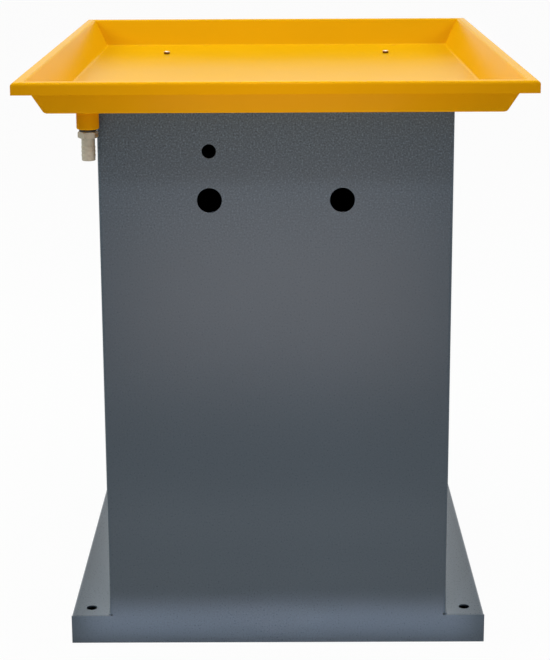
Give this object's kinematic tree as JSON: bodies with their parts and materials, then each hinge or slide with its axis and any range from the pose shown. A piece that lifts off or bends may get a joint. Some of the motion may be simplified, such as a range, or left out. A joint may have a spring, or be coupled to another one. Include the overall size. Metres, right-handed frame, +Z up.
{
  "type": "machine stand with chip tray",
  "caption": "Sheet-metal machine stand: folded column on a flanged base with a hinged rear door, carrying a rimmed chip tray with a hose drain.",
  "frame": {"origin": "on the floor, under the middle of the column and of the tray", "axes": "+Z up; -Y is the pictured panel with the hose holes, +Y the door; +X to the right in the picture"},
  "size_m": [0.565, 0.76, 0.6823],
  "materials": {
    "grey_paint": "semi-gloss powder coat, fine texture",
    "yellow_paint": "gloss enamel",
    "zinc": "zinc plated",
    "nickel": "nickel-plated brass, turned",
    "rubber": "matt",
    "black_plastic": "matt"
  },
  "bodies": {
    "stand": {"front_panel": "grey_paint", "rear_panel": "grey_paint", "left_side_panel": "grey_paint", "right_side_panel": "grey_paint", "cabinet_floor": "grey_paint", "front_top_rail": "grey_paint", "rear_top_rail": "grey_paint", "chip_tray": "yellow_paint", "drain_boss": "yellow_paint", "drain_seal": "rubber", "hose_barb": "nickel", "tray_bolt_front_left": "zinc", "tray_bolt_front_right": "zinc", "tray_bolt_rear_left": "zinc", "tray_bolt_rear_right": "zinc", "tray_washer_front_left": "zinc", "tray_washer_front_right": "zinc", "tray_washer_rear_left": "zinc", "tray_washer_rear_right": "zinc", "tray_nut_front_left": "zinc", "tray_nut_front_right": "zinc", "tray_nut_rear_left": "zinc", "tray_nut_rear_right": "zinc", "lower_hinge_panel_leaf": "zinc", "upper_hinge_panel_leaf": "zinc", "lower_hinge_pin": "zinc", "upper_hinge_pin": "zinc"},
    "door": {"rear_door": "grey_paint", "lower_hinge_door_leaf": "zinc", "upper_hinge_door_leaf": "zinc", "lock_body": "zinc", "lock_nut": "zinc"},
    "latch": {"lock_knob": "black_plastic", "lock_cam": "zinc", "lock_screw": "zinc"}
  },
  "joints": [
    {"name": "door_hinge", "type": "hinge", "parent": "stand", "child": "door", "pos_m": [0.1515, 0.3051, 0.33], "axis": [0, 0, -1], "range_deg": [0, 170]},
    {"name": "latch_turn", "type": "hinge", "parent": "door", "child": "latch", "pos_m": [-0.12, 0.3, 0.33], "axis": [0, 1, 0], "range_deg": [0, 90]}
  ]
}
